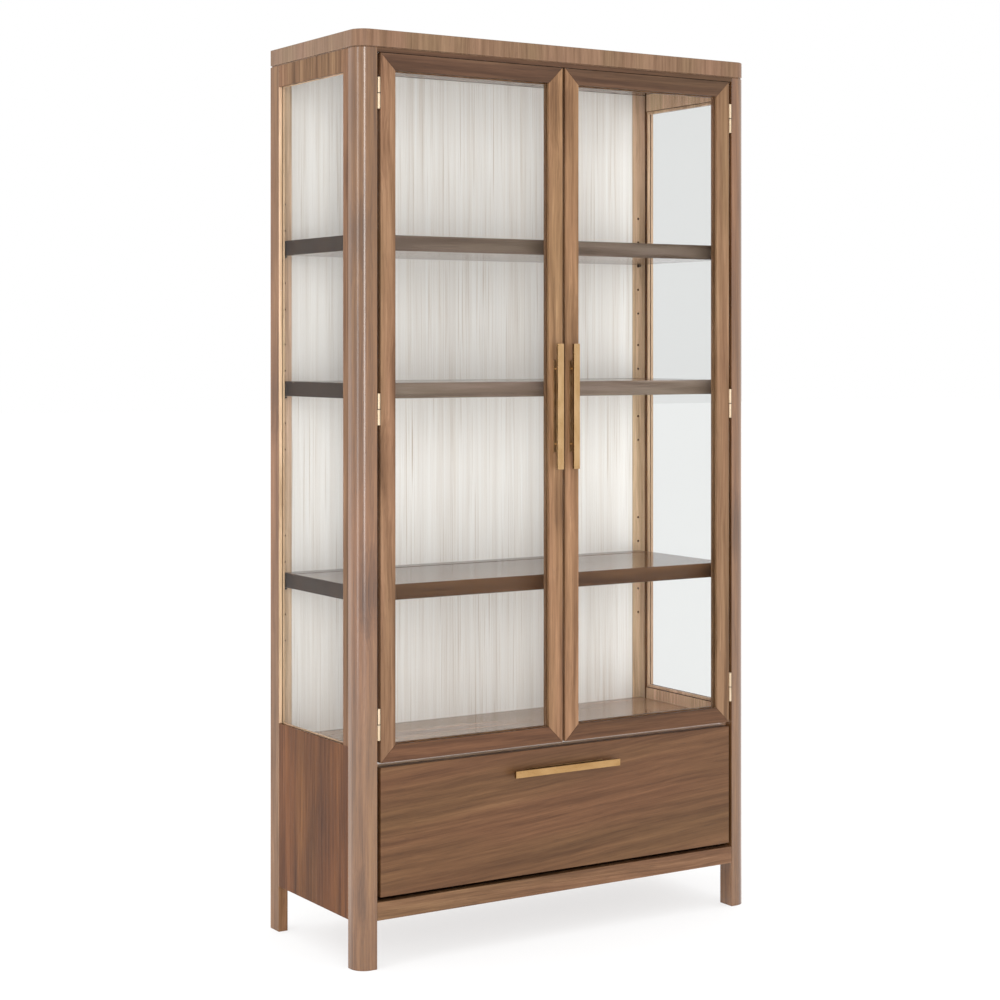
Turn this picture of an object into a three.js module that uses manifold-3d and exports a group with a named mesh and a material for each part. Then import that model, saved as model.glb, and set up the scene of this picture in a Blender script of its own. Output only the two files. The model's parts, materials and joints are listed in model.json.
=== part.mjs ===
// China cabinet: two glazed doors over one wide drawer, glazed sides, three adjustable shelves.
// Millimetres. +X is the viewer's right, +Y runs to the back, +Z is up.
// The origin is at floor level, in the middle of the whole object, pulls included.

import * as THREE from 'three';
import { mergeVertices } from 'three/addons/utils/BufferGeometryUtils.js';
import Module from 'manifold-3d';

const wasm = await Module();
wasm.setup();

// ---------------------------------------------------------------- driving dimensions

const caseWidth = 1122;
const caseDepth = 445;
const caseHeight = 2134;
const fitGap = 0.3;                 // between pieces that touch
const overcut = 1;                  // how far a cutter passes the face it opens

const topThickness = 41;
const shadowLine = 2.5;             // rabbet under the edge of the top, as high as it is deep
const cornerRadius = 35;            // front vertical corners of the top and of the front posts

const frontPostWidth = 50;
const frontPostDepth = 47;
const rearPostWidth = 50;           // above the leg
const rearPostDepth = 45;           // along the side, over its outer lip
const sideThickness = 24;
const legHeight = 110;              // floor to the underside of the case

const sideTopRailHeight = 52;
const sideStileDepth = 24;          // between the front post and the glass
const sideGlassBottom = 504;
const sideGlassLip = 8.6;           // wood in front of the side glass
const glassThickness = 4;
const sideRabbet = 6;               // how far the side glass reaches behind its lip
const beadThickness = 4;
const beadSight = 1;                // width of bead seen through the glass
const glassPlay = 0.5;              // side glass to the bottom of its rabbet

const pinHoleInset = 31;            // outer side face to the row of shelf-pin holes in each post
const pinHoleRadius = 3;
const pinHoleDepth = 9;
const pinHoleSides = 8;
const pinHolePitch = 64;
const pinHoleReach = 2;             // holes above and below each shelf's own hole

const backPanelFront = 205;         // measured from the middle of the case
const backPanelThickness = 8;

const doorThickness = 22;
const reveal = 9;                   // post to door, and post to drawer front
const doorGap = 8;                  // between the two doors
const doorBottom = 467;
const doorTop = 2082;
const doorMember = 38.5;            // width of the stiles and rails
const doorRabbet = 8;
const doorGlassDepth = 9;           // door front to glass
const mitreGap = 0.15;              // cut back from each mitred end
const paneGap = 1;                  // door glass to the bottom of its rabbet

const headerHeight = 9.4;           // front strip over the doors
const bottomRailHeight = 41.5;
const deckTop = 469;
const deckThickness = 25;
const caseBottomTop = 136;
const caseBottomThickness = 18;
const stopGap = 1.5;                // closed door to the deck's front edge

const shelfTops = { lower: 865, middle: 1330, upper: 1671 };
const shelfThickness = 36;
const shelfSetback = 50;            // front face to the shelf's front edge
const shelfEndGap = 4;              // shelf to the side frame's inner face
const shelfRearGap = 1;
const plateGroove = { fromBack: 50, width: 8, depth: 3 };

const hingeHeights = { bottom: 555, middle: 1271, top: 1990 };
const hingeHeight = 72;
const knuckleRadius = 3.5;
const hingePinRadius = 1.9;
const hingeBoreRadius = 2.2;
const hingeSetback = 1;             // hinge axis behind the front face
const leafThickness = 1.6;
const leafDepth = 20;
const knuckleClearance = 0.5;
const hingePinRecess = 1;           // top of the knuckle to the top of its pin

const pullLength = 300;
const pullWidth = 16.5;
const pullBarThickness = 8;
const pullReach = 22;               // front face to the face of the pull
const pullPlateLength = 220;
const pullPlateThickness = 3;
const pullStudRadius = 4;
const pullStudSpacing = 180;
const doorPullInset = 19;           // meeting edge of the door to the middle of its pull
const doorPullHeight = 1271;
const drawerPullHeight = 406;

const drawerFrontBottom = 162;
const drawerFrontTop = 456;
const drawerBoxHalfWidth = 488;
const drawerBoxBottom = 185;
const drawerBoxHeight = 220;
const drawerBoxDepth = 380;
const drawerBoardThickness = 15;
const drawerBottomThickness = 9;
const drawerBottomHeight = 10;      // lower edge of the box to the underside of its bottom
const drawerGrooveDepth = 6;

const slideLength = 350;
const slideHeight = 45;
const slideWidth = 13;              // drawer side to cleat
const slideMiddle = 295;            // height of the slides' centre line
const slideSheet = 1.5;
const channelDepth = 10;            // of the case slide, towards the drawer
const channelLip = 5.5;             // turned in along both its edges
const hatDepth = 8.5;               // of the drawer slide, away from the drawer
const hatCrown = 15;                // half heights of its crown and brim
const hatBrim = 19;
const cleatHeight = 60;

// ---------------------------------------------------------------- derived places

const half = caseWidth / 2;
const front = -caseDepth / 2;
const back = caseDepth / 2;
const underTop = caseHeight - topThickness;
const postInner = half - frontPostWidth;
const postBack = front + frontPostDepth;
const rearPostFront = back - rearPostDepth;
const rearPostInner = half - rearPostWidth;
const sideInner = half - sideThickness;
const sideGlassFront = postBack + sideStileDepth;
const sideGlassTop = underTop - sideTopRailHeight;
const doorOuter = postInner - reveal;
const doorInner = doorGap / 2;
const doorWidth = doorOuter - doorInner;
const doorHeight = doorTop - doorBottom;
const hingeAxisX = (postInner + doorOuter) / 2;
const hingeAxisY = front + hingeSetback;

// ---------------------------------------------------------------- materials

const finish = (color, roughness, metalness = 0) =>
  new THREE.MeshStandardMaterial({ color, roughness, metalness });
const walnut = finish(0x86623f, 0.45);
const darkWalnut = finish(0x5d4633, 0.35);
const striatedPanel = finish(0xded9cf, 0.6);
const glass = new THREE.MeshStandardMaterial({
  color: 0xdfe9e6, roughness: 0.05, transparent: true, opacity: 0.3,
});
const brass = finish(0xb98d4f, 0.3, 1);
const steel = finish(0xb4b6b8, 0.35, 1);
const drawerWood = finish(0xcbb491, 0.55);

// ---------------------------------------------------------------- solids

const weldDistance = 1e-4;

// A copy with positions only, its corners shared between faces.
function welded(geometry) {
  const bare = geometry.clone();
  bare.deleteAttribute('normal');
  bare.deleteAttribute('uv');
  return mergeVertices(bare, weldDistance);
}

function toManifold(geometry) {
  const merged = welded(geometry);
  return new wasm.Manifold(new wasm.Mesh({
    numProp: 3,
    vertProperties: new Float32Array(merged.attributes.position.array),
    triVerts: new Uint32Array(merged.index.array),
  }));
}

function toGeometry(manifold) {
  const mesh = manifold.getMesh();
  const geometry = new THREE.BufferGeometry();
  geometry.setAttribute('position', new THREE.BufferAttribute(mesh.vertProperties, 3));
  geometry.setIndex(new THREE.BufferAttribute(mesh.triVerts, 1));
  geometry.computeVertexNormals();
  return geometry;
}

const join = (...geometries) =>
  toGeometry(geometries.map(toManifold).reduce((whole, next) => whole.add(next)));
const cut = (geometry, ...cutters) =>
  toGeometry(cutters.map(toManifold).reduce((rest, next) => rest.subtract(next), toManifold(geometry)));

// A box between two limits on each axis.
function block([x0, x1], [y0, y1], [z0, z1]) {
  return new THREE.BoxGeometry(x1 - x0, y1 - y0, z1 - z0)
    .translate((x0 + x1) / 2, (y0 + y1) / 2, (z0 + z1) / 2);
}

// A flat outline in X and Y, raised from z0 to z1.
function raise(outline, z0, z1, curveSegments = 12) {
  return new THREE.ExtrudeGeometry(outline, { depth: z1 - z0, bevelEnabled: false, curveSegments })
    .translate(0, 0, z0);
}

// An upright cylinder.
function rod(radius, x, y, z0, z1, sides = 24) {
  return new THREE.CylinderGeometry(radius, radius, z1 - z0, sides)
    .rotateX(Math.PI / 2).translate(x, y, (z0 + z1) / 2);
}

const outlineOf = (points) => new THREE.Shape(points.map(([x, y]) => new THREE.Vector2(x, y)));

// Turns a right-hand solid into its left-hand twin, keeping its faces pointing out.
function mirrored(geometry) {
  const twin = welded(geometry);
  twin.scale(-1, 1, 1);
  const index = twin.index.array;
  for (let i = 0; i < index.length; i += 3) [index[i], index[i + 1]] = [index[i + 1], index[i]];
  twin.computeVertexNormals();
  return twin;
}

const cabinet = new THREE.Group();
cabinet.position.y = pullReach / 2;   // centres the object, with its pulls, on the origin

function add(name, geometry, material, parent = cabinet) {
  const mesh = new THREE.Mesh(geometry, material);
  mesh.name = name;
  parent.add(mesh);
  return mesh;
}

// A solid drawn on the right-hand side, and its twin on the left.
function addPair(name, geometry, material) {
  add(`${name}_right`, geometry, material);
  add(`${name}_left`, mirrored(geometry), material);
}

// ---------------------------------------------------------------- case

// The top's outline, with round front corners, inset all round.
function topOutline(inset) {
  const x = half - inset;
  const radius = cornerRadius - inset;
  const outline = new THREE.Shape();
  outline.moveTo(-x, back - inset);
  outline.lineTo(-x, front + cornerRadius);
  outline.absarc(-half + cornerRadius, front + cornerRadius, radius, Math.PI, 1.5 * Math.PI);
  outline.absarc(half - cornerRadius, front + cornerRadius, radius, 1.5 * Math.PI, 2 * Math.PI);
  outline.lineTo(x, back - inset);
  return outline;
}

function topPanel() {
  const slab = raise(topOutline(0), underTop + shadowLine, caseHeight);
  const step = raise(topOutline(shadowLine), underTop, underTop + 2 * shadowLine);
  return join(slab, step);
}

// One row of blind holes for shelf pins in a post, in the face at y = face. 'into' is the
// direction the holes run: 1 to the back, -1 to the front.
function pinHoles(face, into) {
  const holes = [];
  for (const top of Object.values(shelfTops)) {
    for (let step = -pinHoleReach; step <= pinHoleReach; step += 1) {
      const z = top - shelfThickness - pinHoleRadius + step * pinHolePitch;
      holes.push(new THREE.CylinderGeometry(pinHoleRadius, pinHoleRadius, pinHoleDepth + overcut, pinHoleSides)
        .translate(half - pinHoleInset, face + into * (pinHoleDepth - overcut) / 2, z));
    }
  }
  return holes;
}

function frontPost() {
  const outline = new THREE.Shape();
  outline.moveTo(postInner, postBack);
  outline.lineTo(postInner, front);
  outline.absarc(half - cornerRadius, front + cornerRadius, cornerRadius, -Math.PI / 2, 0);
  outline.lineTo(half, postBack);
  return cut(raise(outline, 0, underTop - fitGap), ...pinHoles(postBack, -1));
}

// An L: the inner part is level with the back panel, the outer lip comes forward to the side glass.
// Below the case it carries on as a leg only as wide as the side.
function rearPost() {
  const lip = half - sideGlassLip;
  const section = raise(outlineOf([[rearPostInner, backPanelFront], [lip, backPanelFront], [lip, rearPostFront],
    [half, rearPostFront], [half, back], [rearPostInner, back]]), legHeight, underTop - fitGap);
  const leg = block([sideInner, half], [rearPostFront, back], [0, legHeight + overcut]);
  return cut(join(section, leg), ...pinHoles(backPanelFront, 1));
}

// Lower panel, front stile and top rail in one plane; the rear post closes the frame.
// A rabbet behind the lip takes the glass and its bead.
function sideFrame() {
  const y1 = rearPostFront - fitGap;
  const panel = block([sideInner, half], [postBack + fitGap, y1], [legHeight, underTop - fitGap]);
  const opening = block([sideInner - overcut, half + overcut], [sideGlassFront, y1 + overcut],
    [sideGlassBottom, sideGlassTop]);
  const rabbet = block([sideInner - overcut, half - sideGlassLip], [sideGlassFront - sideRabbet, y1 + overcut],
    [sideGlassBottom - sideRabbet, sideGlassTop + sideRabbet]);
  return cut(panel, opening, rabbet);
}

const glassEdge = sideRabbet - glassPlay;    // how far the side glass reaches past its opening
const sideGlassY = [sideGlassFront - glassEdge, rearPostFront + glassEdge];
const sideGlassZ = [sideGlassBottom - glassEdge, sideGlassTop + glassEdge];
const sideGlassOuter = half - sideGlassLip - fitGap;

function sideBead() {
  const outer = sideGlassOuter - glassThickness - fitGap;
  const width = glassEdge + beadSight;
  const inset = ([low, high]) => [low + width, high - width];
  return cut(block([outer - beadThickness, outer], sideGlassY, sideGlassZ),
    block([outer - beadThickness - overcut, outer + overcut], inset(sideGlassY), inset(sideGlassZ)));
}

// A horizontal board between the side frames, notched round the two front posts.
function notchedBoard(y0, y1, z0, z1) {
  const x = sideInner - fitGap;
  const notchX = postInner - fitGap;
  const notchY = postBack + fitGap;
  return raise(outlineOf([[-notchX, y0], [notchX, y0], [notchX, notchY], [x, notchY],
    [x, y1], [-x, y1], [-x, notchY], [-notchX, notchY]]), z0, z1);
}

function shelf(top) {
  const x = sideInner - shelfEndGap;
  const y1 = backPanelFront - shelfRearGap;
  const groove = y1 - plateGroove.fromBack;
  return cut(block([-x, x], [front + shelfSetback, y1], [top - shelfThickness, top]),
    block([-x - overcut, x + overcut], [groove - plateGroove.width / 2, groove + plateGroove.width / 2],
      [top - plateGroove.depth, top + overcut]));
}

const betweenPosts = [-postInner + fitGap, postInner - fitGap];
const frontBoard = [front, front + doorThickness];
const boardBack = backPanelFront - fitGap;

add('top_panel', topPanel(), walnut);
addPair('front_post', frontPost(), walnut);
addPair('rear_post', rearPost(), walnut);
addPair('side_frame', sideFrame(), walnut);
addPair('side_glass', block([sideGlassOuter - glassThickness, sideGlassOuter], sideGlassY, sideGlassZ), glass);
addPair('side_glass_bead', sideBead(), darkWalnut);
add('back_panel', block([-rearPostInner + fitGap, rearPostInner - fitGap],
  [backPanelFront, backPanelFront + backPanelThickness], [legHeight, underTop - fitGap]), striatedPanel);
add('display_deck', notchedBoard(front + doorThickness + stopGap, boardBack, deckTop - deckThickness, deckTop), walnut);
add('case_bottom', notchedBoard(front + doorThickness + fitGap, boardBack,
  caseBottomTop - caseBottomThickness, caseBottomTop), walnut);
add('front_bottom_rail', block(betweenPosts, frontBoard, [legHeight, legHeight + bottomRailHeight]), walnut);
add('header_rail', block(betweenPosts, frontBoard, [underTop - fitGap - headerHeight, underTop - fitGap]), walnut);
for (const [level, top] of Object.entries(shelfTops)) add(`${level}_shelf`, shelf(top), darkWalnut);

// ---------------------------------------------------------------- doors

// A stile or rail with mitred ends: x runs in from its outer edge, y back from its face.
function mitredMember(length, outerEdge) {
  const section = outlineOf([[0, 0], [doorMember, 0], [doorMember, doorGlassDepth],
    [doorMember - doorRabbet, doorGlassDepth], [doorMember - doorRabbet, doorThickness], [0, doorThickness]]);
  const member = raise(section, -length / 2, length / 2);
  const position = member.attributes.position;
  for (let i = 0; i < position.count; i += 1) {
    const end = Math.sign(position.getZ(i));
    position.setZ(i, end * (length / 2 - position.getX(i) - mitreGap));
  }
  return member.translate(outerEdge, 0, 0);
}

const doorStile = mitredMember(doorHeight, -doorWidth / 2);
const doorRail = mitredMember(doorWidth, -doorHeight / 2);

function pullPlate() {
  const plate = block([-pullWidth / 2, pullWidth / 2], [-pullPlateThickness - fitGap, -fitGap],
    [-pullPlateLength / 2, pullPlateLength / 2]);
  const studs = [-1, 1].map((end) => new THREE.CylinderGeometry(
    pullStudRadius, pullStudRadius, pullReach - pullBarThickness - fitGap - pullPlateThickness / 2, 20)
    .translate(0, -(pullReach - pullBarThickness - fitGap + pullPlateThickness / 2) / 2, end * pullStudSpacing / 2));
  return join(plate, ...studs);
}

// A bar pull in two pieces, standing upright in front of y = 0.
function addPull(name, parent, x, z, turn = 0) {
  const pull = new THREE.Group();
  pull.position.set(x, front, z);
  pull.rotation.y = turn;
  parent.add(pull);
  add(`${name}_plate`, pullPlate(), brass, pull);
  add(`${name}_bar`, block([-pullWidth / 2, pullWidth / 2], [-pullReach, pullBarThickness - pullReach],
    [-pullLength / 2, pullLength / 2]), brass, pull);
}

for (const [side, sign] of [['left', -1], ['right', 1]]) {
  const door = new THREE.Group();
  door.position.set(sign * (doorInner + doorWidth / 2), front, (doorBottom + doorTop) / 2);
  cabinet.add(door);
  const members = [
    [sign < 0 ? 'hinge_stile' : 'meeting_stile', doorStile, 0],
    ['top_rail', doorRail, Math.PI / 2],
    [sign < 0 ? 'meeting_stile' : 'hinge_stile', doorStile, Math.PI],
    ['bottom_rail', doorRail, -Math.PI / 2],
  ];
  for (const [member, geometry, turn] of members) {
    add(`${side}_door_${member}`, geometry, walnut, door).rotation.y = turn;
  }
  const paneX = doorWidth / 2 - doorMember + doorRabbet - paneGap;
  const paneZ = doorHeight / 2 - doorMember + doorRabbet - paneGap;
  const paneY = doorGlassDepth + fitGap;
  add(`${side}_door_glass`, block([-paneX, paneX], [paneY, paneY + glassThickness], [-paneZ, paneZ]), glass, door);
  addPull(`${side}_door_pull`, cabinet, sign * (doorInner + doorPullInset), doorPullHeight);
}

// ---------------------------------------------------------------- hinges

// The post leaf carries the lower knuckle and the pin; the door leaf has the upper knuckle.
function hingeLeaf(onPost) {
  const plateX = onPost
    ? [postInner - fitGap - leafThickness, postInner - fitGap]
    : [doorOuter + fitGap, doorOuter + fitGap + leafThickness];
  const plate = block(plateX, [hingeAxisY, hingeAxisY + leafDepth], [-hingeHeight / 2, hingeHeight / 2]);
  const own = onPost ? [-hingeHeight / 2, -fitGap / 2] : [fitGap / 2, hingeHeight / 2];
  const other = onPost ? [-fitGap / 2, hingeHeight] : [-hingeHeight, fitGap / 2];
  const clear = rod(knuckleRadius + knuckleClearance, hingeAxisX, hingeAxisY, ...other);
  const leaf = join(cut(plate, clear), rod(knuckleRadius, hingeAxisX, hingeAxisY, ...own));
  if (onPost) {
    const pin = rod(hingePinRadius, hingeAxisX, hingeAxisY, -hingeHeight / 4, hingeHeight / 2 - hingePinRecess);
    return join(leaf, pin);
  }
  return cut(leaf, rod(hingeBoreRadius, hingeAxisX, hingeAxisY, -overcut, hingeHeight));
}

for (const [level, z] of Object.entries(hingeHeights)) {
  for (const [leaf, onPost] of [['post_leaf', true], ['door_leaf', false]]) {
    addPair(`${level}_hinge_${leaf}`, hingeLeaf(onPost).translate(0, 0, z), brass);
  }
}

// ---------------------------------------------------------------- drawer

const boxFront = front + doorThickness + fitGap;
const boxBack = boxFront + drawerBoxDepth;
const boxTop = drawerBoxBottom + drawerBoxHeight;
const boxInner = drawerBoxHalfWidth - drawerBoardThickness;
const bottomZ = drawerBoxBottom + drawerBottomHeight;
const bottomReach = boxInner + drawerGrooveDepth;

function bottomGroove(reach) {
  return block([-reach, reach], [boxFront - overcut, boxBack - drawerBoardThickness / 2],
    [bottomZ - fitGap, bottomZ + drawerBottomThickness + fitGap]);
}

add('drawer_front', block([-doorOuter, doorOuter], frontBoard, [drawerFrontBottom, drawerFrontTop]), walnut);
addPair('drawer_side', cut(block([boxInner, drawerBoxHalfWidth], [boxFront, boxBack], [drawerBoxBottom, boxTop]),
  bottomGroove(bottomReach + fitGap)), drawerWood);
add('drawer_back', cut(block([-boxInner + fitGap, boxInner - fitGap],
  [boxBack - drawerBoardThickness, boxBack], [drawerBoxBottom, boxTop]), bottomGroove(boxInner)), drawerWood);
add('drawer_bottom', block([-bottomReach, bottomReach],
  [boxFront + fitGap, boxBack - drawerBoardThickness / 2 - fitGap],
  [bottomZ, bottomZ + drawerBottomThickness]), drawerWood);
addPull('drawer_pull', cabinet, 0, drawerPullHeight, Math.PI / 2);

// Both slide sections are drawn with x across the gap and y up, then laid front to back.
function layBack(section) {
  return new THREE.ExtrudeGeometry(section, { depth: slideLength, bevelEnabled: false })
    .rotateX(Math.PI / 2).translate(0, boxFront + slideLength + fitGap, slideMiddle);
}

// A channel open towards the drawer, with lips turned in.
function caseSlide() {
  const x1 = drawerBoxHalfWidth + slideWidth;
  const x0 = x1 - channelDepth;
  const z = slideHeight / 2;
  const lip = z - channelLip;
  const profile = [[x1, z], [x0, z], [x0, lip], [x0 + slideSheet, lip], [x0 + slideSheet, z - slideSheet],
    [x1 - slideSheet, z - slideSheet]];
  const lower = profile.map(([x, y]) => [x, -y]).reverse();
  return layBack(outlineOf([...profile, ...lower]));
}

// A hat section on the drawer side, its brim caught behind the channel's lips.
function drawerSlide() {
  const x0 = drawerBoxHalfWidth + fitGap;
  const brim = x0 + hatDepth;
  const profile = [[x0, hatCrown], [brim - slideSheet, hatCrown], [brim - slideSheet, hatBrim], [brim, hatBrim],
    [brim, hatCrown - slideSheet], [x0 + slideSheet, hatCrown - slideSheet]];
  const lower = profile.map(([x, y]) => [x, -y]).reverse();
  return layBack(outlineOf([...profile, ...lower]));
}

addPair('drawer_slide', drawerSlide(), steel);
addPair('case_slide', caseSlide(), steel);
const cleatZ = [slideMiddle - cleatHeight / 2, slideMiddle + cleatHeight / 2];
addPair('slide_cleat', block([drawerBoxHalfWidth + slideWidth + fitGap, sideInner - fitGap],
  [postBack + fitGap, backPanelFront - fitGap], cleatZ), walnut);

export default cabinet;
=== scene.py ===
"""China cabinet with glass doors: the finished look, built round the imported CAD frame."""

import json
import math

import bmesh
import bpy
from mathutils import Matrix, Vector


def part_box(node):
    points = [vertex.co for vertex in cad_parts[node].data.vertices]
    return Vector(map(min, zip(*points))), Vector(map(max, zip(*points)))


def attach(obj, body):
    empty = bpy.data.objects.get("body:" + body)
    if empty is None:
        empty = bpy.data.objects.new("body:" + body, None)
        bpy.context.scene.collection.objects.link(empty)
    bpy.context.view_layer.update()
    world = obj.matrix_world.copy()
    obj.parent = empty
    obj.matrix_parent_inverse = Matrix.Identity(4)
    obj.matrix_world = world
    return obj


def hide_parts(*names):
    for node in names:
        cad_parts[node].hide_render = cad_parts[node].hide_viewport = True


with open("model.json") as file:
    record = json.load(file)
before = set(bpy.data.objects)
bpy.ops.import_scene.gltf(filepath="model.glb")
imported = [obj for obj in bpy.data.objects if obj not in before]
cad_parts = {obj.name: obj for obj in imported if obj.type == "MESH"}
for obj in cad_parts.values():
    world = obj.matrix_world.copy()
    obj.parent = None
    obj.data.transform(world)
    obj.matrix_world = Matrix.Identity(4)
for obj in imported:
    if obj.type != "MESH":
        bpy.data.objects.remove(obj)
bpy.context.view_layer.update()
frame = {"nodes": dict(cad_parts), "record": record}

MM = 0.001
BEVEL_ANGLE = math.radians(50)      # edges sharper than this are eased
SMOOTH_ANGLE = math.radians(50)     # edges duller than this are shaded round
FLAT_ANGLE = math.radians(1)        # triangles this close to one plane are one face
WELD_DISTANCE = 1e-6                # points closer than this, in metres, are one point
EASE_PROFILE = 0.6                  # roundness of an eased edge
FACING = 0.7                        # a normal this far along an axis looks that way

WORLD_AS_LIGHT = 1.5                # strength of the white surroundings
WORLD_AS_SEEN = 1.0
FLOOR_AS_LIGHT = (0.96, 0.38)       # albedo and emission
FLOOR_AS_SEEN = (0.30, 0.675)
FLOOR_REACH = 40
SATIN_BUMP = 0.00012                # depth of the pores and fibres, in metres
POLISHED_BUMP = 0.000006

SIDES = ("left", "right")
LEVELS = ("bottom", "middle", "top")
SHELVES = ("lower", "middle", "upper")

body_of_node = {
    node: body
    for body, nodes in frame["record"]["behaviour"]["bodies"].items()
    for node in nodes
}
slot_of_node = {row["node"]: row["material_slot"] for row in frame["record"]["subparts"]}


# ------------------------------------------------------------------ camera, light and floor

def make_camera():
    """A level camera left of the cabinet's middle, shifted down so that the uprights stay upright."""
    camera = bpy.data.objects.new("camera", bpy.data.cameras.new("camera"))
    camera.location = (-2.847, -4.426, 1.407)
    camera.rotation_euler = (math.radians(90), 0, math.radians(-32.31))
    camera.data.sensor_width = 36
    camera.data.lens = 76.33
    camera.data.shift_y = -0.1505
    bpy.context.scene.collection.objects.link(camera)
    bpy.context.scene.camera = camera


def make_softbox(name, place, aim, width, height, power):
    """A tall white area light that looks at a point."""
    data = bpy.data.lights.new(name, "AREA")
    data.shape = "RECTANGLE"
    data.size = width
    data.size_y = height
    data.energy = power
    light = bpy.data.objects.new(name, data)
    light.location = place
    light.rotation_euler = (Vector(aim) - Vector(place)).to_track_quat("-Z", "Y").to_euler()
    bpy.context.scene.collection.objects.link(light)


def make_studio():
    """Even white surroundings, two tall softboxes whose glints run down the round posts, and a pale floor."""
    world = bpy.data.worlds.new("studio")
    world.use_nodes = True
    background = world.node_tree.nodes["Background"]
    background.inputs["Color"].default_value = (1, 1, 1, 1)
    # The surroundings are plain white to look at, directly or through glass, and brighter as a light.
    graph = Graph(world.node_tree)
    path = graph.node("ShaderNodeLightPath").outputs
    looked_at = graph.math("MAXIMUM", path["Is Camera Ray"], path["Is Transmission Ray"])
    graph.feed(background.inputs["Strength"], graph.spread(looked_at, 0, 1, WORLD_AS_LIGHT, WORLD_AS_SEEN))
    bpy.context.scene.world = world
    bpy.context.scene.view_settings.view_transform = "Standard"
    make_softbox("softbox_left", (-4.6, -1.1, 1.5), (-0.5, 0, 1.1), 0.9, 3.2, 32)
    make_softbox("softbox_front", (-2.9, -5.2, 2.0), (0, 0, 1.1), 0.8, 3.4, 92)

    mesh = bpy.data.meshes.new("floor")
    signs = ((-1, -1), (1, -1), (1, 1), (-1, 1))
    mesh.from_pydata([(x * FLOOR_REACH, y * FLOOR_REACH, 0) for x, y in signs], [], [(0, 1, 2, 3)])
    floor = bpy.data.objects.new("floor", mesh)
    bpy.context.scene.collection.objects.link(floor)
    # The floor is pale to look at, with a light shadow under the cabinet, and brighter as a light.
    material, graph, lit = new_material("floor")
    seen = graph.node("ShaderNodeBsdfPrincipled")
    for shader, (albedo, glow) in ((lit, FLOOR_AS_LIGHT), (seen, FLOOR_AS_SEEN)):
        shader.inputs["Base Color"].default_value = (albedo, albedo, albedo, 1)
        shader.inputs["Roughness"].default_value = 0.8
        shader.inputs["Specular IOR Level"].default_value = 0.0
        shader.inputs["Emission Color"].default_value = (1, 1, 1, 1)
        shader.inputs["Emission Strength"].default_value = glow
    path = graph.node("ShaderNodeLightPath").outputs
    either = graph.node("ShaderNodeMixShader")
    graph.feed(either.inputs[0], graph.math("MAXIMUM", path["Is Camera Ray"], path["Is Transmission Ray"]))
    graph.feed(either.inputs[1], lit.outputs[0])
    graph.feed(either.inputs[2], seen.outputs[0])
    graph.feed(material.node_tree.nodes["Material Output"].inputs["Surface"], either.outputs[0])
    mesh.materials.append(material)


# ------------------------------------------------------------------ node helpers

class Graph:
    """A short way to write a material's nodes."""

    def __init__(self, tree):
        self.tree = tree

    def node(self, kind, **settings):
        made = self.tree.nodes.new(kind)
        for name, value in settings.items():
            setattr(made, name, value)
        return made

    def feed(self, socket, value):
        if isinstance(value, bpy.types.NodeSocket):
            self.tree.links.new(value, socket)
        else:
            socket.default_value = value

    def math(self, operation, a, b, clamp=False):
        made = self.node("ShaderNodeMath", operation=operation, use_clamp=clamp)
        self.feed(made.inputs[0], a)
        self.feed(made.inputs[1], b)
        return made.outputs[0]

    def vector_math(self, operation, a, b):
        made = self.node("ShaderNodeVectorMath", operation=operation)
        self.feed(made.inputs[0], a)
        self.feed(made.inputs[1], b)
        return made.outputs[0]

    def noise(self, vector, stretch, detail, roughness=0.55):
        """Noise on coordinates multiplied by stretch, in cells per metre along each axis."""
        made = self.node("ShaderNodeTexNoise")
        self.feed(made.inputs["Vector"], self.vector_math("MULTIPLY", vector, stretch))
        made.inputs["Scale"].default_value = 1.0
        made.inputs["Detail"].default_value = detail
        made.inputs["Roughness"].default_value = roughness
        return made.outputs["Fac"]

    def spread(self, value, low, high, to_low=0.0, to_high=1.0):
        made = self.node("ShaderNodeMapRange")
        made.inputs["From Min"].default_value = low
        made.inputs["From Max"].default_value = high
        made.inputs["To Min"].default_value = to_low
        made.inputs["To Max"].default_value = to_high
        self.feed(made.inputs["Value"], value)
        return made.outputs["Result"]

    def ramp(self, value, stops):
        made = self.node("ShaderNodeValToRGB")
        elements = made.color_ramp.elements
        while len(elements) < len(stops):
            elements.new(0.5)
        for element, (place, colour) in zip(elements, stops):
            element.position = place
            element.color = (*colour, 1)
        self.feed(made.inputs["Fac"], value)
        return made.outputs["Color"]

    def mix(self, share, a, b, blend="MIX"):
        made = self.node("ShaderNodeMix", data_type="RGBA", blend_type=blend)
        self.feed(made.inputs["Factor"], share)
        self.feed(made.inputs[6], a)
        self.feed(made.inputs[7], b)
        return made.outputs[2]

    def bump(self, height, distance, strength=1.0):
        made = self.node("ShaderNodeBump")
        made.inputs["Strength"].default_value = strength
        made.inputs["Distance"].default_value = distance
        self.feed(made.inputs["Height"], height)
        return made.outputs["Normal"]


def new_material(name):
    material = bpy.data.materials.new(name)
    material.use_nodes = True
    return material, Graph(material.node_tree), material.node_tree.nodes["Principled BSDF"]


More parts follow.
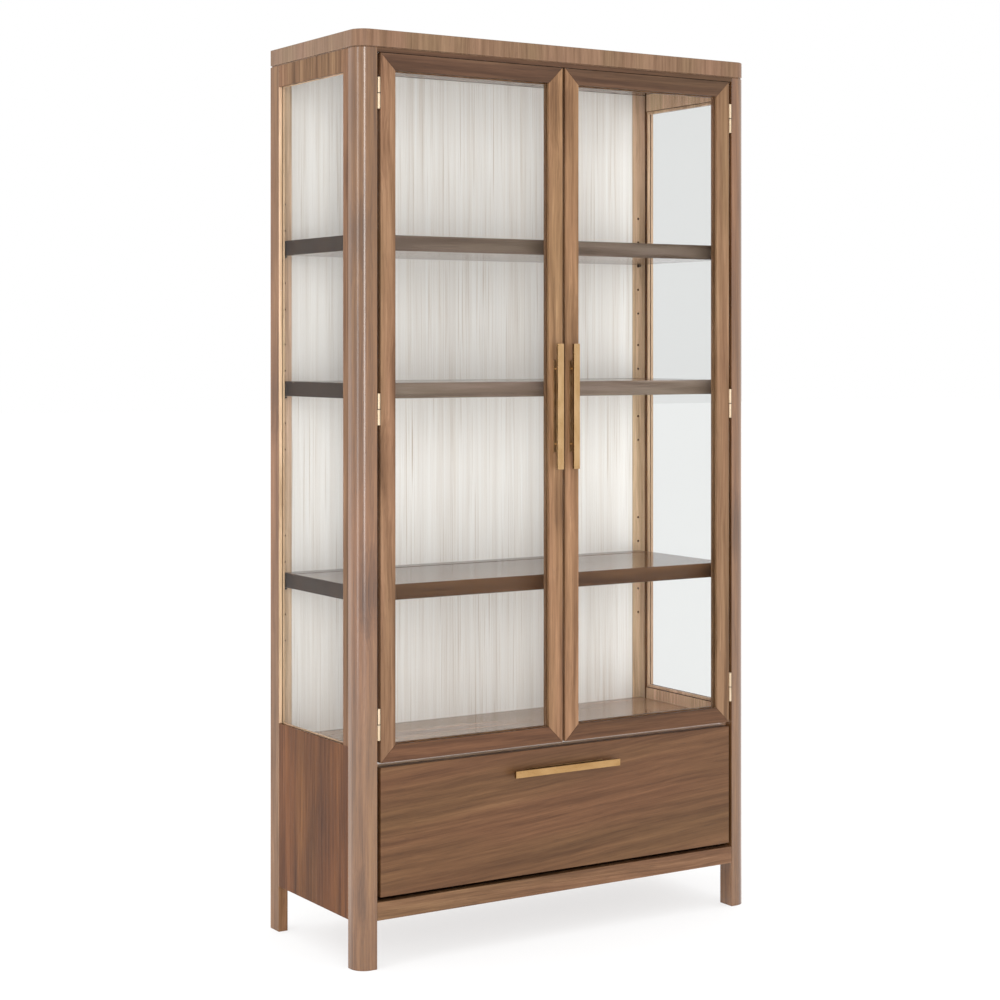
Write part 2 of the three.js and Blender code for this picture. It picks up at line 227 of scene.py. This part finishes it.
def grain_coordinates(graph, along, seed, slant=0.0):
    """Object coordinates turned so that the grain runs along the third axis, and moved to another part
    of the log. slant is how far the grain climbs for its length."""
    place = graph.node("ShaderNodeTexCoord").outputs["Object"]
    split = graph.node("ShaderNodeSeparateXYZ")
    graph.feed(split.inputs[0], place)
    order = {"X": (2, 1, 0), "Y": (0, 2, 1), "Z": (0, 1, 2)}[along]
    joined = graph.node("ShaderNodeCombineXYZ")
    for socket, axis in zip(joined.inputs, order):
        graph.feed(socket, split.outputs[axis])
    if slant:
        climb = graph.math("MULTIPLY", split.outputs[order[2]], slant)
        graph.feed(joined.inputs[0], graph.math("SUBTRACT", split.outputs[order[0]], climb))
    shift = (1.37 * seed % 7.0, 2.11 * seed % 5.0, 3.73 * seed % 11.0)
    return graph.vector_math("ADD", joined.outputs[0], shift)


# ------------------------------------------------------------------ materials

WALNUT_STOPS = (
    (0.20, (0.060, 0.027, 0.012)),
    (0.42, (0.128, 0.064, 0.033)),
    (0.60, (0.195, 0.104, 0.058)),
    (0.84, (0.300, 0.178, 0.108)),
)


def walnut_group():
    """Figure of a walnut board whose grain runs along the third axis: colour, fine height and roughness."""
    tree = bpy.data.node_groups.new("walnut_figure", "ShaderNodeTree")
    for name, kind, way in (
            ("Vector", "NodeSocketVector", "INPUT"),
            ("Cathedral", "NodeSocketFloat", "INPUT"),
            ("Bands", "NodeSocketFloat", "INPUT"),
            ("Knots", "NodeSocketFloat", "INPUT"),
            ("Contrast", "NodeSocketFloat", "INPUT"),
            ("Color", "NodeSocketColor", "OUTPUT"),
            ("Height", "NodeSocketFloat", "OUTPUT"),
            ("Roughness", "NodeSocketFloat", "OUTPUT")):
        tree.interface.new_socket(name, in_out=way, socket_type=kind)
    graph = Graph(tree)
    given = graph.node("NodeGroupInput").outputs
    place = given["Vector"]

    # Slow waves push the grain sideways, and knots push it further.
    sway = graph.math("SUBTRACT", graph.noise(place, (2.4, 2.4, 1.3), 2.0), 0.5)
    ripple = graph.math("SUBTRACT", graph.noise(place, (14, 14, 6.0), 2.0), 0.5)
    knot = graph.node("ShaderNodeTexVoronoi", feature="F1")
    graph.feed(knot.inputs["Vector"], graph.vector_math("MULTIPLY", place, (7.0, 7.0, 2.3)))
    knot.inputs["Scale"].default_value = 1.0
    near_knot = graph.math("MULTIPLY", graph.spread(knot.outputs["Distance"], 0.30, 0.04), given["Knots"])
    push = graph.math("ADD", graph.math("MULTIPLY", sway, 0.032), graph.math("MULTIPLY", ripple, 0.006))
    push = graph.math("ADD", push, graph.math("MULTIPLY", near_knot, 0.012))
    offset = graph.node("ShaderNodeCombineXYZ")
    graph.feed(offset.inputs[0], push)
    graph.feed(offset.inputs[1], graph.math("MULTIPLY", push, 0.6))
    bent = graph.vector_math("ADD", place, offset.outputs[0])

    bands = graph.noise(bent, (30, 30, 0.9), 4.0, 0.6)
    streaks = graph.noise(bent, (150, 150, 3.2), 3.0, 0.6)
    fibres = graph.noise(bent, (720, 720, 16), 2.0, 0.6)
    rings = graph.node("ShaderNodeTexWave", wave_type="RINGS", rings_direction="SPHERICAL")
    graph.feed(rings.inputs["Vector"], graph.vector_math("MULTIPLY", bent, (1.0, 0.4, 0.16)))
    rings.inputs["Scale"].default_value = 11.0
    rings.inputs["Distortion"].default_value = 5.0
    rings.inputs["Detail"].default_value = 3.0
    rings.inputs["Detail Scale"].default_value = 1.6

    tone = graph.math("MULTIPLY", bands, given["Bands"])
    tone = graph.math("ADD", tone, graph.math("MULTIPLY", streaks, 0.34))
    tone = graph.math("ADD", tone, graph.math("MULTIPLY", fibres, 0.22))
    ring_part = graph.math("MULTIPLY", graph.math("SUBTRACT", rings.outputs["Fac"], 0.5), given["Cathedral"])
    tone = graph.math("ADD", tone, ring_part)
    tone = graph.math("SUBTRACT", tone, graph.math("MULTIPLY", near_knot, 0.18))
    # Brings the middle of the sum back to one half, however strong the bands are.
    middle = graph.math("ADD", graph.math("MULTIPLY", given["Bands"], 0.5), 0.28)
    tone = graph.math("MULTIPLY", graph.math("SUBTRACT", tone, middle), given["Contrast"])
    tone = graph.math("ADD", tone, 0.5)

    colour = graph.ramp(tone, WALNUT_STOPS)
    hue = graph.spread(graph.noise(place, (11, 11, 1.0), 2.0), 0.35, 0.65)
    colour = graph.mix(1.0, colour, graph.mix(hue, (1.05, 0.985, 0.97, 1), (0.98, 1.0, 0.90, 1)), "MULTIPLY")
    pores = graph.spread(graph.noise(bent, (980, 980, 26), 1.0), 0.66, 0.74)
    colour = graph.mix(graph.math("MULTIPLY", pores, 0.45), colour, (0.055, 0.030, 0.017, 1))

    given_back = graph.node("NodeGroupOutput").inputs
    graph.feed(given_back["Color"], colour)
    height = graph.math("SUBTRACT", graph.math("MULTIPLY", fibres, 0.5), pores)
    graph.feed(given_back["Height"], height)
    graph.feed(given_back["Roughness"], graph.spread(streaks, 0.3, 0.7, 0.46, 0.36))
    return tree


def make_walnut(name, along, seed, tone=(1, 1, 1), cathedral=0.06, bands=0.44, knots=0.0, contrast=1.55,
                polish=None, below=None, slant=0.0, ior=1.5, sheen=0.2):
    """Walnut with its grain along one axis. tone tints a board, polish is the low roughness of a glossy one
    and sheen the specular level of a satin one.
    below is a height and the tint of the wood under it."""
    material, graph, shader = new_material(name)
    figure = graph.node("ShaderNodeGroup")
    figure.node_tree = bpy.data.node_groups.get("walnut_figure") or walnut_group()
    graph.feed(figure.inputs["Vector"], grain_coordinates(graph, along, seed, slant))
    figure.inputs["Cathedral"].default_value = cathedral
    figure.inputs["Bands"].default_value = bands
    figure.inputs["Knots"].default_value = knots
    figure.inputs["Contrast"].default_value = contrast
    colour = graph.mix(1.0, figure.outputs["Color"], (*tone, 1), "MULTIPLY")
    if below:
        edge, tint = below
        split = graph.node("ShaderNodeSeparateXYZ")
        graph.feed(split.inputs[0], graph.node("ShaderNodeTexCoord").outputs["Object"])
        under = graph.spread(split.outputs[2], edge + 0.5 * MM, edge - 0.5 * MM)
        colour = graph.mix(under, colour, graph.mix(1.0, colour, (*tint, 1), "MULTIPLY"))
    graph.feed(shader.inputs["Base Color"], colour)
    shader.inputs["IOR"].default_value = ior
    if polish is None:
        shader.inputs["Specular IOR Level"].default_value = sheen
        graph.feed(shader.inputs["Roughness"], figure.outputs["Roughness"])
        graph.feed(shader.inputs["Normal"], graph.bump(figure.outputs["Height"], SATIN_BUMP))
    else:
        rough = graph.spread(figure.outputs["Roughness"], 0.36, 0.46, polish, polish + 0.04)
        graph.feed(shader.inputs["Roughness"], rough)
        graph.feed(shader.inputs["Normal"], graph.bump(figure.outputs["Height"], POLISHED_BUMP))
    return material


def make_striated_panel():
    """Off-white panel with fine upright striations that start and stop."""
    material, graph, shader = new_material("striated_panel")
    place = grain_coordinates(graph, "Z", 3)
    fine = graph.noise(place, (420, 60, 2.6), 2.0, 0.6)
    broad = graph.noise(place, (120, 60, 1.3), 2.0, 0.6)
    fade = graph.spread(graph.noise(place, (30, 30, 2.4), 2.0), 0.35, 0.62)
    fine_lines = graph.math("MULTIPLY", graph.spread(fine, 0.56, 0.70), graph.math("ADD", fade, 0.25))
    broad_lines = graph.spread(broad, 0.50, 0.72)
    colour = graph.ramp(graph.noise(place, (55, 30, 0.8), 2.0), (
        (0.35, (0.83, 0.79, 0.745)), (0.65, (0.91, 0.885, 0.85))))
    colour = graph.mix(graph.math("MULTIPLY", broad_lines, 0.30), colour, (0.74, 0.66, 0.57, 1))
    colour = graph.mix(graph.math("MULTIPLY", fine_lines, 0.65, clamp=True), colour, (0.52, 0.42, 0.32, 1))
    pale = graph.spread(graph.noise(place, (300, 40, 2.0), 1.0), 0.60, 0.68)
    colour = graph.mix(graph.math("MULTIPLY", pale, 0.6), colour, (0.92, 0.905, 0.885, 1))
    graph.feed(shader.inputs["Base Color"], colour)
    graph.feed(shader.inputs["Roughness"], graph.spread(fine, 0.3, 0.7, 0.5, 0.65))
    graph.feed(shader.inputs["Normal"], graph.bump(fine, 0.0002))
    return material


def make_glass(name, tint_stops):
    """Clear sheet glass. Lamp light, and light on its way to a matt surface, goes straight through."""
    material, graph, shader = new_material(name)
    place = graph.node("ShaderNodeTexCoord").outputs["Object"]
    tint = graph.ramp(graph.noise(place, (1.5, 1.5, 1.5), 1.0), tint_stops)
    graph.feed(shader.inputs["Base Color"], tint)
    shader.inputs["Roughness"].default_value = 0.0
    shader.inputs["IOR"].default_value = 1.12
    shader.inputs["Transmission Weight"].default_value = 1.0
    clear = graph.node("ShaderNodeBsdfTransparent")
    clear.inputs["Color"].default_value = (0.98, 0.985, 0.983, 1)
    path = graph.node("ShaderNodeLightPath").outputs
    passes = graph.math("MAXIMUM", path["Is Shadow Ray"], path["Is Diffuse Ray"])
    either = graph.node("ShaderNodeMixShader")
    graph.feed(either.inputs[0], passes)
    graph.feed(either.inputs[1], shader.outputs[0])
    graph.feed(either.inputs[2], clear.outputs[0])
    output = material.node_tree.nodes["Material Output"]
    graph.feed(output.inputs["Surface"], either.outputs[0])
    return material


def make_metal(name, colour, darker, along, roughness, seed=1):
    """Brushed metal: hair lines along one axis, with faint clouding."""
    material, graph, shader = new_material(name)
    place = grain_coordinates(graph, along, seed)
    hair = graph.noise(place, (2600, 2600, 22), 2.0, 0.7)
    cloud = graph.noise(place, (38, 38, 16), 3.0, 0.6)
    graph.feed(shader.inputs["Base Color"],
               graph.mix(graph.spread(cloud, 0.35, 0.65), (*darker, 1), (*colour, 1)))
    shader.inputs["Metallic"].default_value = 1.0
    by_hair = graph.spread(hair, 0.3, 0.7, -0.05, 0.05)
    by_cloud = graph.spread(cloud, 0.3, 0.7, -0.04, 0.04)
    uneven = graph.math("ADD", by_hair, by_cloud)
    graph.feed(shader.inputs["Roughness"], graph.math("ADD", uneven, roughness))
    graph.feed(shader.inputs["Normal"], graph.bump(hair, 0.00003, 0.5))
    return material


def make_pale_wood(name, along, seed):
    """Pale, even hardwood for the drawer box."""
    material, graph, shader = new_material(name)
    place = grain_coordinates(graph, along, seed)
    bands = graph.noise(place, (22, 22, 0.8), 3.0, 0.6)
    fibres = graph.noise(place, (420, 420, 12), 2.0, 0.6)
    tone = graph.math("ADD", graph.math("MULTIPLY", bands, 0.6), graph.math("MULTIPLY", fibres, 0.4))
    graph.feed(shader.inputs["Base Color"], graph.ramp(tone, (
        (0.35, (0.45, 0.33, 0.21)), (0.5, (0.56, 0.44, 0.30)), (0.65, (0.64, 0.52, 0.37)))))
    graph.feed(shader.inputs["Roughness"], graph.spread(fibres, 0.3, 0.7, 0.55, 0.45))
    graph.feed(shader.inputs["Normal"], graph.bump(fibres, 0.00008))
    return material


# ------------------------------------------------------------------ mesh helpers

def finish_piece(name, bm, materials, body, nodes=(), slot=None):
    """Turns a bmesh into a shown piece that rides on a body and stands for CAD nodes."""
    bmesh.ops.recalc_face_normals(bm, faces=bm.faces)
    mesh = bpy.data.meshes.new(name)
    bm.to_mesh(mesh)
    bm.free()
    for material in materials:
        mesh.materials.append(material)
    for polygon in mesh.polygons:
        polygon.use_smooth = True
    mesh.set_sharp_from_angle(angle=SMOOTH_ANGLE)
    piece = bpy.data.objects.new(name, mesh)
    bpy.context.scene.collection.objects.link(piece)
    weighted = piece.modifiers.new("weighted_normals", "WEIGHTED_NORMAL")
    weighted.keep_sharp = True
    weighted.weight = 50
    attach(piece, body)
    if nodes:
        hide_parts(*nodes)
        slot = slot or slot_of_node[nodes[0]]
    return piece


def ease_edges(bm, width, segments):
    """Rounds every sharp edge by width."""
    sharp = [e for e in bm.edges if len(e.link_faces) == 2 and e.calc_face_angle(0) > BEVEL_ANGLE]
    bmesh.ops.bevel(bm, geom=sharp, offset=width, segments=segments, profile=EASE_PROFILE, affect="EDGES",
                    clamp_overlap=True)


def solid_of(node):
    """The CAD node's solid as clean flat faces."""
    bm = bmesh.new()
    bm.from_mesh(frame["nodes"][node].data)
    bmesh.ops.remove_doubles(bm, verts=bm.verts, dist=WELD_DISTANCE)
    bmesh.ops.dissolve_limit(bm, angle_limit=FLAT_ANGLE, verts=bm.verts, edges=bm.edges)
    return bm


def refine(node, material, ease, segments=2, *others, split_at=None):
    """The node's own shape with eased edges. Each of the others is a test for a face, and that face's
    material. split_at is a height at which faces are divided, so that a test can tell them apart."""
    bm = solid_of(node)
    if split_at is not None:
        bmesh.ops.bisect_plane(bm, geom=bm.verts[:] + bm.edges[:] + bm.faces[:], plane_co=(0, 0, split_at),
                               plane_no=(0, 0, 1))
    ease_edges(bm, ease, segments)
    materials = [material] + [other for _, other in others]
    bm.normal_update()
    for number, (picked, _) in enumerate(others, 1):
        for face in bm.faces:
            if picked(face):
                face.material_index = number
    return finish_piece(f"{node}_finished", bm, materials, body_of_node[node], [node])


def merge(bm, part):
    """Adds one bmesh to another and frees it."""
    mesh = bpy.data.meshes.new("part")
    part.to_mesh(mesh)
    part.free()
    bm.from_mesh(mesh)
    bpy.data.meshes.remove(mesh)


def add_turned(bm, start, direction, profile, sides):
    """A turned solid: profile is (distance along the axis, radius) from one end to the other."""
    part = bmesh.new()
    rings = []
    for along, radius in profile:
        ring = [part.verts.new((radius * math.cos(a), radius * math.sin(a), along))
                for a in (2 * math.pi * i / sides for i in range(sides))]
        rings.append(ring)
    for lower, upper in zip(rings, rings[1:]):
        for i in range(sides):
            j = (i + 1) % sides
            part.faces.new((lower[i], lower[j], upper[j], upper[i]))
    part.faces.new(list(reversed(rings[0])))
    part.faces.new(rings[-1])
    turn = Vector((0, 0, 1)).rotation_difference(Vector(direction)).to_matrix().to_4x4()
    bmesh.ops.transform(part, matrix=Matrix.Translation(Vector(start)) @ turn, verts=part.verts)
    merge(bm, part)


# ------------------------------------------------------------------ case

LEG_HEIGHT = 110 * MM
SIDE_PANEL_TOP = 504 * MM           # where the side's lower panel meets the glass
INNER_PAINTED_LIGHT_TONE = (3.9, 5.2, 6.7)        # painted light: lifts and greys the wood round the display space against the shade inside the case, with painted sheen
# Painted light on the shelves' front edges: painted shade on the lower one, painted sheen that lifts and
# greys the middle and upper ones.
SHELF_EDGE_PAINTED_LIGHT = {"lower": (0.42, 0.36, 0.27), "middle": (0.85, 1.20, 1.75), "upper": (0.58, 0.80, 1.10)}


def build_case():
    top_face = make_walnut("walnut_top", "X", 21, (0.85, 0.83, 0.80), cathedral=0.10, polish=0.12,
                           ior=1.7)
    crossband = make_walnut("walnut_crossband", "Z", 4, (1.0, 1.13, 1.26), 0.0, 0.22, contrast=1.3)
    refine("top_panel", crossband, 1.0 * MM, 3, (lambda face: abs(face.normal.z) > FACING, top_face))
    for number, side in enumerate(SIDES):
        seed = 5 + 11 * number
        post = make_walnut(f"walnut_front_post_{side}", "Z", seed, (0.81, 0.71, 0.53), 0.05, 0.40, 0.8,
                           polish=0.16, ior=1.6)
        refine(f"front_post_{side}", post, 1.6 * MM, 3)
        rear_post = make_walnut(f"walnut_rear_post_{side}", "Z", seed + 2, (0.90, 0.85, 0.74), knots=0.8)
        # This wood round the display space is painted lighter and greyer: painted light against the shade
        # inside the case, and painted sheen.
        inner_wood_painted_light = make_walnut(f"walnut_inner_painted_light_{side}", "Z", seed + 4, INNER_PAINTED_LIGHT_TONE, 0.05, 0.30, 0.8,
                                 contrast=1.2)
        faces_glass = (lambda face: face.normal.y < -FACING and face.calc_center_median().z > LEG_HEIGHT)
        refine(f"rear_post_{side}", rear_post, 1.0 * MM, 2, (faces_glass, inner_wood_painted_light), split_at=LEG_HEIGHT)
        side_wood = make_walnut(f"walnut_side_{side}", "Z", seed + 3, (0.88, 0.88, 0.84), 0.04, 0.55,
                                contrast=1.7, below=(SIDE_PANEL_TOP, (0.60, 0.40, 0.19)), sheen=0.08)
        faces_in = (lambda face, sign=(1 if side == "left" else -1): face.normal.x * sign > FACING)
        refine(f"side_frame_{side}", side_wood, 0.7 * MM, 2, (faces_in, inner_wood_painted_light))
        refine(f"side_glass_{side}", SIDE_GLASS, 0.3 * MM)
        refine(f"side_glass_bead_{side}", inner_wood_painted_light, 0.5 * MM)
        refine(f"slide_cleat_{side}", make_walnut(f"walnut_cleat_{side}", "Y", seed + 6), 0.8 * MM)
        refine(f"case_slide_{side}", STEEL, 0.2 * MM)
    hardboard = make_walnut("walnut_panel_back", "Z", 40, (0.8, 0.8, 0.8))
    refine("back_panel", STRIATED, 0.5 * MM, 2, (lambda face: face.normal.y > FACING, hardboard))
    # The deck's tone lifts and greys it: a painted reflection of the white surroundings, added to the real
    # one from its high IOR.
    refine("display_deck", make_walnut("walnut_deck_painted_reflection", "X", 33, (1.9, 2.2, 2.5), polish=0.10,
                                       ior=2.6), 0.8 * MM)
    refine("case_bottom", make_walnut("walnut_case_bottom", "X", 35, (0.8, 0.8, 0.8)), 0.8 * MM)
    refine("front_bottom_rail", make_walnut("walnut_bottom_rail", "X", 37, (0.98, 0.98, 0.94)), 1.0 * MM)
    refine("header_rail", make_walnut("walnut_header", "X", 39, (0.45, 0.42, 0.38)), 0.6 * MM)
    for number, level in enumerate(SHELVES):
        seed = 51 + 3 * number
        # The edge tint is painted light: painted shade on the lower shelf, painted sheen on the middle and
        # upper ones.
        edge = make_walnut(f"walnut_shelf_edge_painted_light_{level}", "X", seed, SHELF_EDGE_PAINTED_LIGHT[level])
        end = make_walnut(f"walnut_shelf_end_{level}", "Z", seed + 1, (0.17, 0.15, 0.11), sheen=0.08)
        board = make_walnut(f"walnut_shelf_{level}", "X", seed, (0.7, 0.64, 0.56), polish=0.12, ior=1.8)
        refine(f"{level}_shelf", edge, 1.0 * MM, 2, (lambda face: abs(face.normal.z) > FACING, board),
               (lambda face: abs(face.normal.x) > FACING, end))


def build_shelf_pins():
    """A turned pin with a collar under each corner of each shelf, standing out of its post."""
    inset = 31 * MM                   # outer side face to the row of pin holes
    radius = 2.4 * MM
    seat = 3.0 * MM                   # shelf's underside to the middle of its pin holes
    buried = 7 * MM
    shown = 10 * MM
    collar = 1.4 * MM
    _, post_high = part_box("front_post_right")
    panel_low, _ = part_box("back_panel")
    collar_radius = 3.8 * MM
    tip_radius = 1.6 * MM
    tip = 0.6 * MM
    step = 0.01 * MM                  # length of the shoulder between pin and collar
    profile = ((0, tip_radius), (tip, radius), (buried, radius), (buried + step, collar_radius),
               (buried + collar, collar_radius), (buried + collar + step, radius),
               (buried + shown, radius), (buried + shown + tip, tip_radius))
    for level in SHELVES:
        bm = bmesh.new()
        shelf_low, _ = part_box(f"{level}_shelf")
        z = shelf_low.z - seat
        for sign in (-1, 1):
            x = sign * (post_high.x - inset)
            add_turned(bm, (x, post_high.y - buried, z), (0, 1, 0), profile, sides=16)
            add_turned(bm, (x, panel_low.y + buried, z), (0, -1, 0), profile, sides=16)
        finish_piece(f"{level}_shelf_pins", bm, [BRONZED], "case", slot="slide_steel")


# ------------------------------------------------------------------ doors

DOOR_TONES = {
    "hinge_stile": (1.02, 1.07, 1.06),
    "meeting_stile": (1.22, 1.28, 1.22),
    "top_rail": (0.40, 0.38, 0.36),
    "bottom_rail": (0.54, 0.46, 0.37),
}


def build_doors():
    for number, side in enumerate(SIDES):
        for place, (member, tone) in enumerate(DOOR_TONES.items()):
            along = "Z" if "stile" in member else "X"
            knots = 0.7 if "stile" in member else 0.0
            seed = 61 + 7 * number + 3 * place
            wood = make_walnut(f"walnut_{side}_{member}", along, seed, tone, 0.05, 0.42, knots)
            refine(f"{side}_door_{member}", wood, 0.9 * MM, 3)
        refine(f"{side}_door_glass", DOOR_GLASS, 0.3 * MM)
        for part in ("pull_plate", "pull_bar"):
            refine(f"{side}_door_{part}", BRASS_UPRIGHT, (0.5 if part == "pull_plate" else 0.7) * MM, 3)
        for level in LEVELS:
            refine(f"{level}_hinge_post_leaf_{side}", BRASS_HINGE, 0.25 * MM)
            refine(f"{level}_hinge_door_leaf_{side}", BRASS_HINGE, 0.25 * MM)
        build_hinge_screws(side)
        build_door_bead(side)


def build_hinge_screws(side):
    """Domed screw heads on both leaves of each hinge, and a dark washer where each knuckle splits."""
    sign = -1 if side == "left" else 1
    leaf = 1.6 * MM
    behind_axis = 12 * MM
    knuckle = 3.5 * MM
    head = ((-0.6 * MM, 3.0 * MM), (0.2 * MM, 3.0 * MM), (0.6 * MM, 2.0 * MM), (0.75 * MM, 0.8 * MM))
    screw_pitch = 24 * MM
    rim = knuckle + 0.45 * MM
    washer = ((0, knuckle), (0.2 * MM, rim), (2.2 * MM, rim), (2.4 * MM, knuckle))
    on_post, on_door, at_split = bmesh.new(), bmesh.new(), bmesh.new()
    for level in LEVELS:
        post_low, post_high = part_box(f"{level}_hinge_post_leaf_{side}")
        door_low, door_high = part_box(f"{level}_hinge_door_leaf_{side}")
        # The knuckle reaches as far in front of the axis as its radius, on both leaves.
        axis_y = post_low.y + knuckle
        post_face = (post_high.x - leaf) if sign > 0 else (post_low.x + leaf)
        door_face = (door_low.x + leaf) if sign > 0 else (door_high.x - leaf)
        axis_x = (door_face + post_face) / 2
        middle = (post_low.z + door_high.z) / 2
        for step in (-1, 0, 1):
            place = (axis_y + behind_axis, middle + step * screw_pitch)
            add_turned(on_post, (post_face, *place), (-sign, 0, 0), head, sides=14)
            add_turned(on_door, (door_face, *place), (sign, 0, 0), head, sides=14)
        add_turned(at_split, (axis_x, axis_y, middle - washer[-1][0] / 2), (0, 0, 1), washer, sides=24)
    brass = "brushed_brass"
    finish_piece(f"hinge_screws_post_{side}", on_post, [BRASS_HINGE], "case", slot=brass)
    finish_piece(f"hinge_washers_{side}", at_split, [BRONZED], "case", slot=brass)
    finish_piece(f"hinge_screws_door_{side}", on_door, [BRASS_HINGE], f"door_{side}", slot=brass)


def build_door_bead(side):
    """Four mitred strips behind the door's glass, inside the rabbet."""
    glass_low, glass_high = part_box(f"{side}_door_glass")
    _, member_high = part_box(f"{side}_door_hinge_stile")
    gap = 0.2 * MM                    # glass to bead
    sunk = 0.6 * MM                   # bead to the back of the door
    width = 9.5 * MM
    y0, y1 = glass_high.y + gap, member_high.y - sunk
    bm = bmesh.new()
    corners = []
    for inset in (0.0, width):
        for y in (y0, y1):
            x0, x1 = glass_low.x + inset, glass_high.x - inset
            z0, z1 = glass_low.z + inset, glass_high.z - inset
            corners.append([bm.verts.new(p) for p in ((x0, y, z0), (x1, y, z0), (x1, y, z1), (x0, y, z1))])
    outer_front, outer_back, inner_front, inner_back = corners
    for i in range(4):
        j = (i + 1) % 4
        for a, b in ((outer_front, outer_back), (inner_back, inner_front), (inner_front, outer_front),
                     (outer_back, inner_back)):
            bm.faces.new((a[i], a[j], b[j], b[i]))
    ease_edges(bm, 1.2 * MM, segments=3)
    wood = make_walnut(f"walnut_{side}_door_bead", "Z", 83, (0.8, 0.8, 0.8))
    finish_piece(f"{side}_door_glass_bead", bm, [wood], f"door_{side}", slot="walnut")


# ------------------------------------------------------------------ drawer

def build_drawer():
    front = make_walnut("walnut_drawer_front", "X", 91, (0.60, 0.53, 0.42), 0.05, 0.46,
                        contrast=1.25, slant=0.07)
    refine("drawer_front", front, 1.2 * MM, 3)
    for number, side in enumerate(SIDES):
        refine(f"drawer_side_{side}", make_pale_wood(f"pale_side_{side}", "Y", 3 + number), 1.0 * MM)
        refine(f"drawer_slide_{side}", STEEL, 0.2 * MM)
    refine("drawer_back", make_pale_wood("pale_back", "X", 7), 1.0 * MM)
    refine("drawer_bottom", make_pale_wood("pale_bottom", "X", 9), 0.5 * MM)
    refine("drawer_pull_plate", BRASS_LEVEL, 0.5 * MM, 3)
    refine("drawer_pull_bar", BRASS_LEVEL, 0.7 * MM, 3)


make_camera()
make_studio()

DOOR_GLASS = make_glass("door_glass", ((0.3, (0.945, 0.955, 0.953)), (0.7, (0.958, 0.967, 0.965))))
SIDE_GLASS = make_glass("side_glass", ((0.3, (0.775, 0.780, 0.775)), (0.7, (0.790, 0.795, 0.790))))
STRIATED = make_striated_panel()
BRASS_UPRIGHT = make_metal("brushed_brass_upright", (0.40, 0.26, 0.135), (0.32, 0.20, 0.092), "Z", 0.30)
BRASS_HINGE = make_metal("brass_hinge", (0.52, 0.41, 0.29), (0.43, 0.33, 0.22), "Z", 0.36, 6)
BRASS_LEVEL = make_metal("brushed_brass_level", (0.33, 0.20, 0.088), (0.265, 0.152, 0.061), "X", 0.30, 4)
BRONZED = make_metal("bronzed_steel", (0.10, 0.075, 0.055), (0.07, 0.052, 0.04), "Y", 0.38, 8)
STEEL = make_metal("zinc_plated_steel", (0.60, 0.61, 0.62), (0.48, 0.49, 0.50), "Y", 0.32, 2)

build_case()
build_shelf_pins()
build_doors()
build_drawer()
